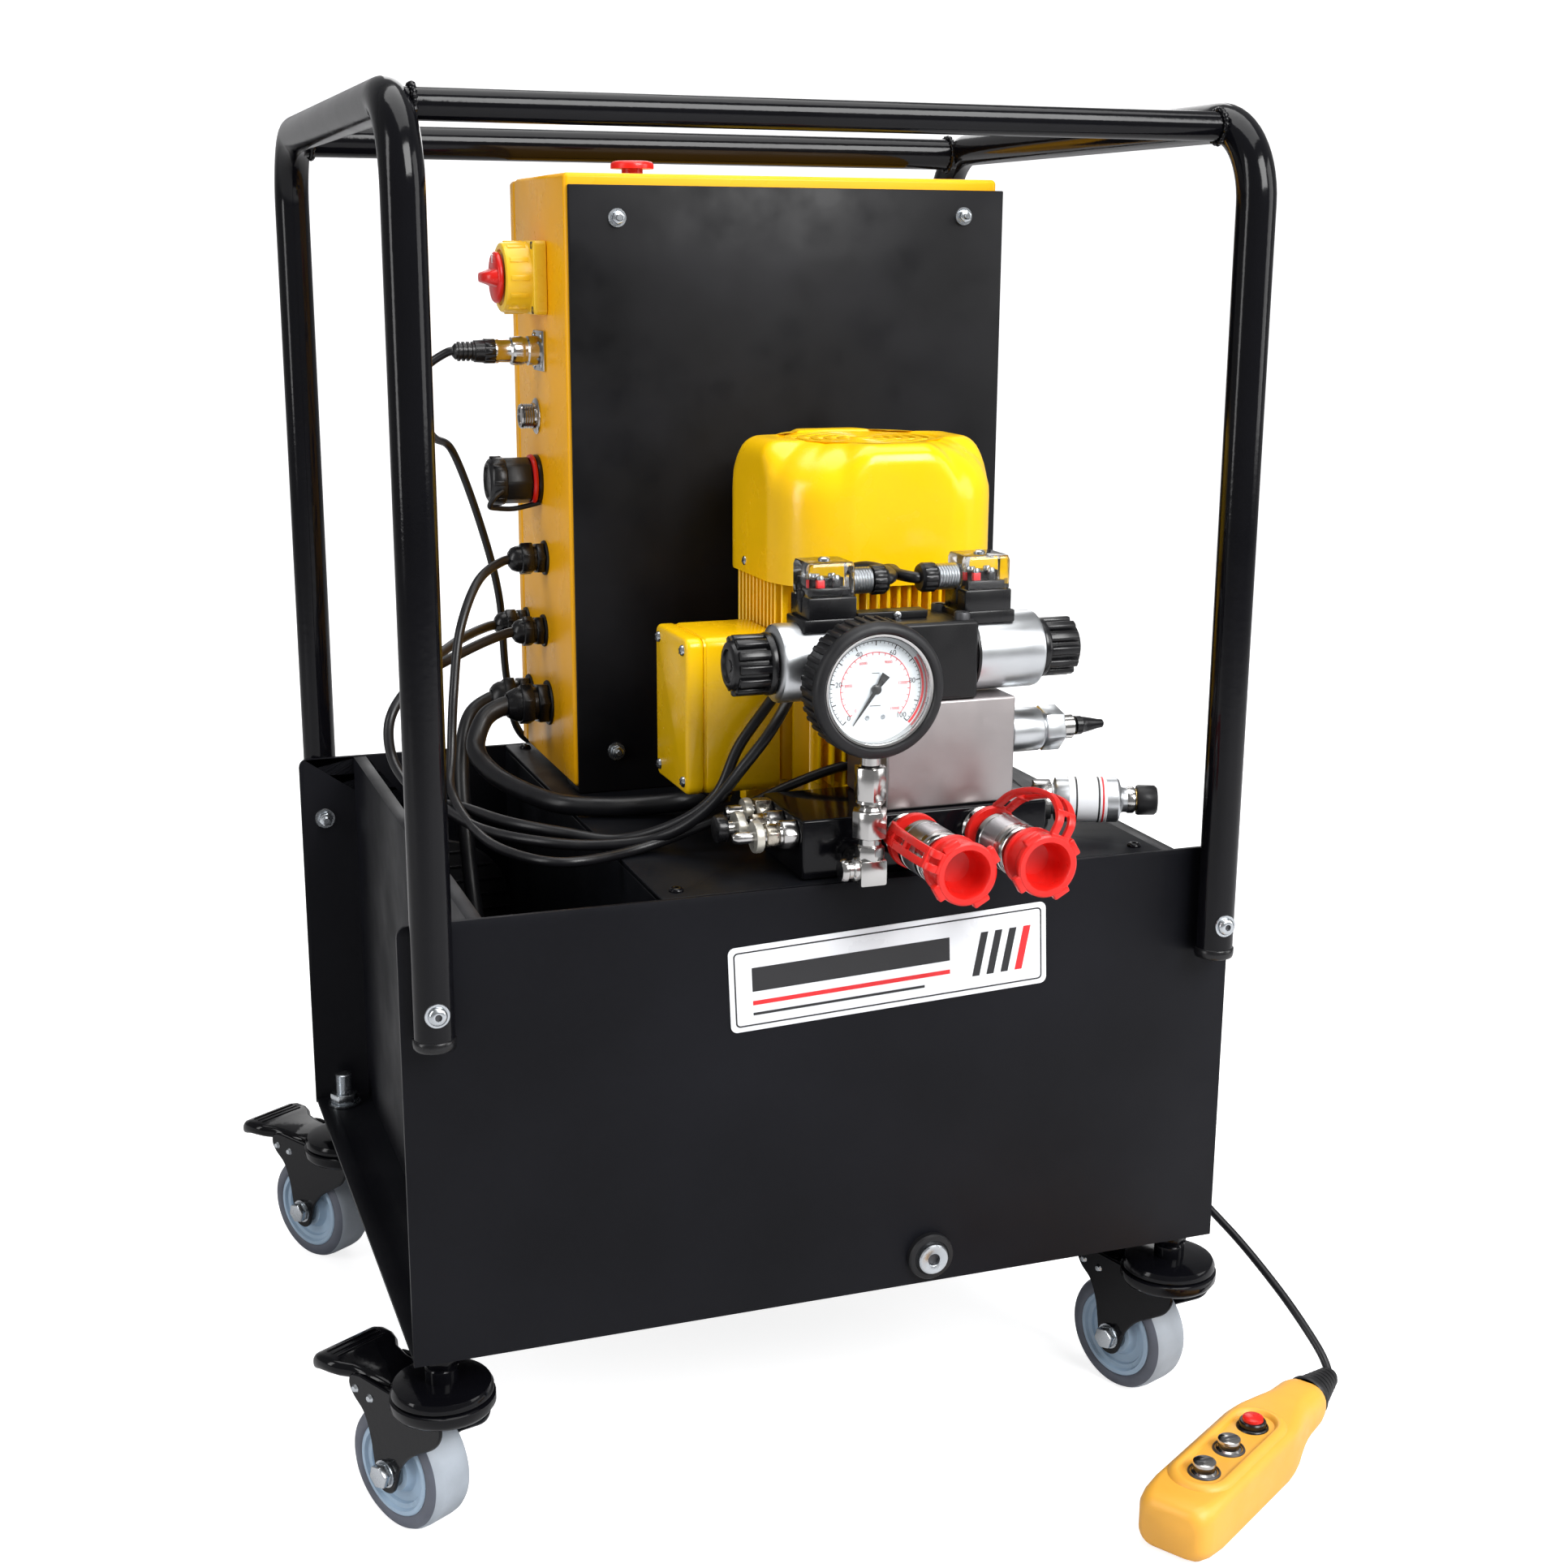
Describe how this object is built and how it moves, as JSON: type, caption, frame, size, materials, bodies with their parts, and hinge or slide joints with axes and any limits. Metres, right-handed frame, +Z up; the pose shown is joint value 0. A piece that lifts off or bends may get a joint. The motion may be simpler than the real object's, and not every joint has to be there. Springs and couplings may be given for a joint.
{
  "type": "hydraulic power unit",
  "caption": "Portable electric hydraulic power unit: oil tank in a castered tray with roll cage, upright motor, solenoid valve stack, gauge, control cabinet and hand pendant.",
  "frame": {"origin": "on the floor, under the middle of the whole unit's outline with the pendant beside it", "axes": "+Z up, +X to the right along the front panel, +Y from the gauge side to the cabinet door side"},
  "size_m": [0.6082, 0.629, 0.799],
  "materials": {
    "black_sheet": "satin black powder coat",
    "gloss_black": "gloss black enamel",
    "yellow_paint": "textured golden yellow enamel",
    "black_cast": "black phosphated casting",
    "cast_iron": "bare casting",
    "steel": "machined and ground",
    "zinc": "bright zinc plate",
    "black_plastic": "moulded",
    "black_rubber": "moulded, dull",
    "grey_tread": "non-marking grey tread on a pale hub",
    "red_plastic": "moulded, glossy",
    "yellow_plastic": "moulded, fine grain"
  },
  "bodies": {
    "chassis": {"cabinet_body": "yellow_paint", "cabinet_plate": "black_sheet", "caster_stem_bl": "zinc", "caster_stem_br": "zinc", "caster_stem_fl": "zinc", "caster_stem_fr": "zinc", "chassis_tray": "black_sheet", "coupler_left": "steel", "coupler_right": "steel", "dust_cap_left": "red_plastic", "dust_cap_right": "red_plastic", "fan_cowl": "yellow_paint", "fan_frame": "black_plastic", "gauge_case": "black_rubber", "gauge_stem": "steel", "isolator_base": "yellow_paint", "manifold_base": "black_sheet", "manifold_block": "steel", "motor_housing": "yellow_paint", "oil_tank": "black_sheet", "pressure_sensor": "steel", "pump_body": "cast_iron", "relief_cartridge": "steel", "roll_cage": "gloss_black", "solenoid_cap_left": "black_plastic", "solenoid_cap_right": "black_plastic", "solenoid_coil_left": "steel", "solenoid_coil_right": "steel", "tank_cover": "gloss_black", "terminal_box": "yellow_paint", "valve_body": "black_cast", "pendant_housing": "yellow_plastic"},
    "caster_fork_fl": {"caster_fork_fl": "gloss_black"},
    "caster_fork_fr": {"caster_fork_fr": "gloss_black"},
    "caster_fork_bl": {"caster_fork_bl": "gloss_black"},
    "caster_fork_br": {"caster_fork_br": "gloss_black"},
    "caster_wheel_fl": {"caster_wheel_fl": "grey_tread"},
    "caster_wheel_fr": {"caster_wheel_fr": "grey_tread"},
    "caster_wheel_bl": {"caster_wheel_bl": "grey_tread"},
    "caster_wheel_br": {"caster_wheel_br": "grey_tread"},
    "brake_pedal_fl": {"brake_pedal_fl": "gloss_black"},
    "brake_pedal_fr": {"brake_pedal_fr": "gloss_black"},
    "brake_pedal_bl": {"brake_pedal_bl": "gloss_black"},
    "brake_pedal_br": {"brake_pedal_br": "gloss_black"},
    "motor_rotor": {"motor_rotor": "steel"},
    "fan_rotor": {"fan_rotor": "black_plastic"},
    "valve_spool": {"valve_spool": "steel"},
    "gauge_needle": {"gauge_needle": "black_plastic"},
    "coupler_sleeve_left": {"coupler_sleeve_left": "steel"},
    "coupler_sleeve_right": {"coupler_sleeve_right": "steel"},
    "relief_adjuster": {"relief_adjuster": "black_plastic"},
    "bleed_screw_front": {"bleed_screw_front": "steel"},
    "bleed_screw_rear": {"bleed_screw_rear": "steel"},
    "isolator_knob": {"isolator_knob": "red_plastic"},
    "stop_button": {"stop_button": "red_plastic"},
    "cabinet_door": {"cabinet_door": "yellow_paint"},
    "door_lock": {"door_lock": "zinc"},
    "pendant_stop": {"pendant_stop": "red_plastic"},
    "pendant_advance": {"pendant_advance": "steel"},
    "pendant_retract": {"pendant_retract": "steel"}
  },
  "joints": [
    {"name": "swivel_fl", "type": "hinge", "parent": "chassis", "child": "caster_fork_fl", "pos_m": [-0.23489, -0.14209, 0.0935], "axis": [0, 0, 1], "continuous": true},
    {"name": "roll_fl", "type": "hinge", "parent": "caster_fork_fl", "child": "caster_wheel_fl", "pos_m": [-0.24988, -0.11611, 0.0375], "axis": [0.866, 0.5, 0], "continuous": true},
    {"name": "brake_fl", "type": "hinge", "parent": "caster_fork_fl", "child": "brake_pedal_fl", "pos_m": [-0.25788, -0.10225, 0.084], "axis": [-0.866, -0.5, 0], "range_deg": [0, 12], "stiffness_Nm_per_rad": 1},
    {"name": "swivel_fr", "type": "hinge", "parent": "chassis", "child": "caster_fork_fr", "pos_m": [0.22912, -0.14209, 0.0935], "axis": [0, 0, 1], "continuous": true},
    {"name": "roll_fr", "type": "hinge", "parent": "caster_fork_fr", "child": "caster_wheel_fr", "pos_m": [0.21885, -0.1139, 0.0375], "axis": [0.9397, 0.342, 0], "continuous": true},
    {"name": "brake_fr", "type": "hinge", "parent": "caster_fork_fr", "child": "brake_pedal_fr", "pos_m": [0.21338, -0.09886, 0.084], "axis": [-0.9397, -0.342, 0], "range_deg": [0, 12], "stiffness_Nm_per_rad": 1},
    {"name": "swivel_bl", "type": "hinge", "parent": "chassis", "child": "caster_fork_bl", "pos_m": [-0.23489, 0.22191, 0.0935], "axis": [0, 0, 1], "continuous": true},
    {"name": "roll_bl", "type": "hinge", "parent": "caster_fork_bl", "child": "caster_wheel_bl", "pos_m": [-0.25122, 0.24707, 0.0375], "axis": [0.8387, 0.5446, 0], "continuous": true},
    {"name": "brake_bl", "type": "hinge", "parent": "caster_fork_bl", "child": "brake_pedal_bl", "pos_m": [-0.25994, 0.26049, 0.084], "axis": [-0.8387, -0.5446, 0], "range_deg": [0, 12], "stiffness_Nm_per_rad": 1},
    {"name": "swivel_br", "type": "hinge", "parent": "chassis", "child": "caster_fork_br", "pos_m": [0.22912, 0.22191, 0.0935], "axis": [0, 0, 1], "continuous": true},
    {"name": "roll_br", "type": "hinge", "parent": "caster_fork_br", "child": "caster_wheel_br", "pos_m": [0.21644, 0.2491, 0.0375], "axis": [0.9063, 0.4226, 0], "continuous": true},
    {"name": "brake_br", "type": "hinge", "parent": "caster_fork_br", "child": "brake_pedal_br", "pos_m": [0.20968, 0.2636, 0.084], "axis": [-0.9063, -0.4226, 0], "range_deg": [0, 12], "stiffness_Nm_per_rad": 1},
    {"name": "motor_spin", "type": "hinge", "parent": "chassis", "child": "motor_rotor", "pos_m": [0.06312, -0.01009, 0.553], "axis": [0, 0, 1], "continuous": true},
    {"name": "fan_spin", "type": "hinge", "parent": "chassis", "child": "fan_rotor", "pos_m": [-0.16089, 0.24621, 0.255], "axis": [0, 1, 0], "continuous": true},
    {"name": "spool_shift", "type": "slide", "parent": "chassis", "child": "valve_spool", "axis": [1, 0, 0], "range_m": [-0.0025, 0.0025], "stiffness_N_per_m": 500},
    {"name": "needle_turn", "type": "hinge", "parent": "chassis", "child": "gauge_needle", "pos_m": [0.00662, -0.18109, 0.4878], "axis": [0, 1, 0], "range_deg": [0, 270]},
    {"name": "sleeve_pull_left", "type": "slide", "parent": "chassis", "child": "coupler_sleeve_left", "axis": [0, 1, 0], "range_m": [0, 0.0055], "stiffness_N_per_m": 200},
    {"name": "sleeve_pull_right", "type": "slide", "parent": "chassis", "child": "coupler_sleeve_right", "axis": [0, 1, 0], "range_m": [0, 0.0055], "stiffness_N_per_m": 200},
    {"name": "relief_turn", "type": "hinge", "parent": "chassis", "child": "relief_adjuster", "pos_m": [0.15942, -0.11509, 0.4435], "axis": [1, 0, 0], "range_deg": [0, 350]},
    {"name": "bleed_turn_front", "type": "hinge", "parent": "chassis", "child": "bleed_screw_front", "pos_m": [-0.02419, -0.13809, 0.399], "axis": [-1, 0, 0], "range_deg": [0, 350]},
    {"name": "bleed_turn_rear", "type": "hinge", "parent": "chassis", "child": "bleed_screw_rear", "pos_m": [-0.02419, -0.11509, 0.399], "axis": [-1, 0, 0], "range_deg": [0, 350]},
    {"name": "isolator_turn", "type": "hinge", "parent": "chassis", "child": "isolator_knob", "pos_m": [-0.12098, 0.15491, 0.7], "axis": [-1, 0, 0], "range_deg": [0, 90]},
    {"name": "stop_press", "type": "slide", "parent": "chassis", "child": "stop_button", "axis": [0, 0, -1], "range_m": [0, 0.004], "stiffness_N_per_m": 300},
    {"name": "door_swing", "type": "hinge", "parent": "chassis", "child": "cabinet_door", "pos_m": [0.19512, 0.22121, 0.57], "axis": [0, 0, -1], "range_deg": [0, 100]},
    {"name": "lock_turn", "type": "hinge", "parent": "cabinet_door", "child": "door_lock", "pos_m": [-0.07688, 0.23021, 0.57], "axis": [0, 1, 0], "range_deg": [0, 90]},
    {"name": "pendant_stop_press", "type": "slide", "parent": "chassis", "child": "pendant_stop", "axis": [0, 0, -1], "range_m": [0, 0.0025], "stiffness_N_per_m": 100},
    {"name": "pendant_advance_press", "type": "slide", "parent": "chassis", "child": "pendant_advance", "axis": [0, 0, -1], "range_m": [0, 0.0025], "stiffness_N_per_m": 100},
    {"name": "pendant_retract_press", "type": "slide", "parent": "chassis", "child": "pendant_retract", "axis": [0, 0, -1], "range_m": [0, 0.0025], "stiffness_N_per_m": 100}
  ]
}
